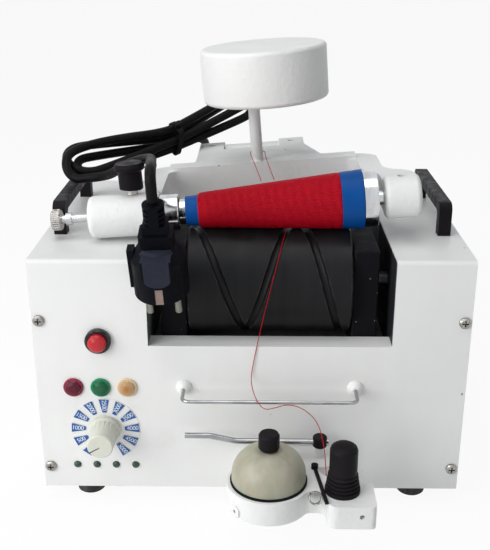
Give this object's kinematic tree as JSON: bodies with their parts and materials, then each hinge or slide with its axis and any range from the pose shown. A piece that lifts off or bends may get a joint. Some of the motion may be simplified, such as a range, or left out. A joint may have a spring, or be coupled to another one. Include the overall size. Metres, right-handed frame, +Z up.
{
  "type": "yarn winding machine",
  "caption": "Bench-top yarn winder: grooved drum turns and traverses a cone held in a hinged, weighted cradle, with a waxing and tension unit at the front.",
  "frame": {"origin": "bottom centre of the machine's bounding box without its mains cord", "axes": "+X along the drum to the right as the user sees it, +Y from the control panel to the back, +Z up"},
  "size_m": [0.3015, 0.3507, 0.3169],
  "materials": {
    "case_paint": "fine textured white powder coat",
    "bay_grey": "satin grey paint",
    "dark_plate": "satin dark grey paint",
    "cast_white": "coarse textured white paint on cast iron",
    "hinge_grey": "textured off white paint",
    "foot_rubber": "matte",
    "zinc_screw": "zinc plated",
    "bearing_block": "matte black",
    "bearing_steel": "ground",
    "drum_black": "smooth black phenolic with a worn sheen",
    "shaft_steel": "ground",
    "pulley_alloy": "turned",
    "motor_case": "satin",
    "belt_rubber": "matte",
    "board_green": "solder mask",
    "bezel_black": "gloss",
    "button_red": "gloss",
    "lens_red": "clear faceted lens",
    "lens_green": "clear faceted lens",
    "lens_amber": "clear faceted lens",
    "led_lens": "dark green lens",
    "dial_print": "printed plate with plain numbers",
    "pot_metal": "plated",
    "knob_beige": "moulded, fluted",
    "wire_chrome": "polished",
    "grommet_white": "glazed white",
    "handle_black": "satin moulded",
    "pin_steel": "ground",
    "nickel": "nickel plated",
    "steel_turned": "turned and polished",
    "knob_black": "moulded, ribbed",
    "cone_blue": "moulded",
    "yarn_red": "cross wound yarn",
    "unit_black": "moulded",
    "wax_cream": "waxy",
    "spring_steel": "polished",
    "rod_chrome": "polished",
    "cord_black": "smooth matte sheath",
    "tie_black": "moulded",
    "plug_black": "moulded",
    "plug_metal": "nickel plated"
  },
  "bodies": {
    "root": {"front_top_cover": "case_paint", "side_panels": "case_paint", "rear_panel": "case_paint", "base_plate": "case_paint", "rubber_feet": "foot_rubber", "case_screws": "zinc_screw", "drum_trough": "bay_grey", "drive_side_plate": "dark_plate", "bearing_blocks": "bearing_block", "drum_bearings": "bearing_steel", "motor_body": "motor_case", "drive_belt": "belt_rubber", "control_board": "board_green", "button_bezel": "bezel_black", "lamp_red": "lens_red", "lamp_green": "lens_green", "lamp_amber": "lens_amber", "status_leds": "led_lens", "dial_plate": "dial_print", "speed_potentiometer": "pot_metal", "guide_wire": "wire_chrome", "guide_grommets": "grommet_white", "carry_handles": "handle_black", "hinge_pin": "pin_steel", "hinge_pedestal": "hinge_grey", "tension_bracket": "cast_white", "wax_seat": "unit_black", "tensioner_base": "unit_black", "tension_spring": "spring_steel", "tension_lever": "unit_black", "guide_rod": "rod_chrome", "clamp_knob": "knob_black", "cord_gland": "bezel_black", "cord_lead": "cord_black", "cord_hank": "cord_black", "cord_tie": "tie_black"},
    "drum": {"grooved_drum": "drum_black", "drum_shaft": "shaft_steel", "drum_pulley": "pulley_alloy"},
    "rotor": {"motor_pulley": "pulley_alloy"},
    "cradle": {"cradle_casting": "cast_white", "weight_post": "cast_white", "weight_disc": "cast_white", "bearing_cup": "steel_turned", "cord_drop": "cord_black", "plug_body": "plug_black", "plug_pins": "plug_metal"},
    "left_centre": {"slide_rod": "steel_turned", "knurled_knob": "nickel"},
    "live_centre": {"live_centre": "steel_turned"},
    "cone_spindle": {"cone_core": "cone_blue", "yarn_package": "yarn_red", "cone_chuck": "steel_turned"},
    "lock_knob": {"lock_knob": "knob_black"},
    "button": {"push_button": "button_red"},
    "speed_knob": {"speed_knob": "knob_beige"},
    "wax": {"wax_disc": "wax_cream"},
    "wax_knob": {"wax_knob": "knob_black"},
    "tensioner": {"tensioner_cap": "knob_black"}
  },
  "joints": [
    {"name": "drum_spin", "type": "hinge", "parent": "root", "child": "drum", "pos_m": [0, -0.028, 0.159], "axis": [1, 0, 0], "continuous": true},
    {"name": "motor_spin", "type": "hinge", "parent": "root", "child": "rotor", "pos_m": [0.1, 0.069, 0.078], "axis": [1, 0, 0], "continuous": true},
    {"name": "cradle_swing", "type": "hinge", "parent": "root", "child": "cradle", "pos_m": [0.01227, 0.13, 0.21619], "axis": [-0.9971, 0, -0.0756], "range_deg": [0, 35]},
    {"name": "cone_spin", "type": "hinge", "parent": "cradle", "child": "cone_spindle", "pos_m": [0.0125, -0.028, 0.2132], "axis": [0.9971, 0, 0.0756], "continuous": true},
    {"name": "centre_slide", "type": "slide", "parent": "cradle", "child": "left_centre", "axis": [-0.9971, 0, -0.0756], "range_m": [0, 0.012]},
    {"name": "live_centre_spin", "type": "hinge", "parent": "left_centre", "child": "live_centre", "pos_m": [0.0125, -0.028, 0.2132], "axis": [0.9971, 0, 0.0756], "continuous": true},
    {"name": "lock_turn", "type": "hinge", "parent": "cradle", "child": "lock_knob", "pos_m": [-0.08336, -0.028, 0.22098], "axis": [-0.0756, 0, 0.9971], "range_deg": [0, 180]},
    {"name": "button_press", "type": "slide", "parent": "root", "child": "button", "axis": [0, 1, 0], "range_m": [0, 0.0025], "stiffness_N_per_m": 600},
    {"name": "speed_turn", "type": "hinge", "parent": "root", "child": "speed_knob", "pos_m": [-0.1037, -0.083, 0.06], "axis": [0, 1, 0], "range_deg": [0, 287]},
    {"name": "wax_spin", "type": "hinge", "parent": "root", "child": "wax", "pos_m": [0.0124, -0.1155, 0.05], "axis": [0, 0, 1], "continuous": true},
    {"name": "wax_knob_turn", "type": "hinge", "parent": "root", "child": "wax_knob", "pos_m": [0.0124, -0.1155, 0.07], "axis": [0, 0, 1], "range_deg": [0, 360]},
    {"name": "tensioner_turn", "type": "hinge", "parent": "root", "child": "tensioner", "pos_m": [0.061, -0.127, 0.06], "axis": [0, 0, 1], "range_deg": [0, 270]}
  ],
  "couplings": [
    {"joint": "motor_spin", "follows": "drum_spin", "ratio": 2},
    {"joint": "cone_spin", "follows": "drum_spin", "ratio": -2.3899},
    {"joint": "live_centre_spin", "follows": "drum_spin", "ratio": -2.3899}
  ]
}
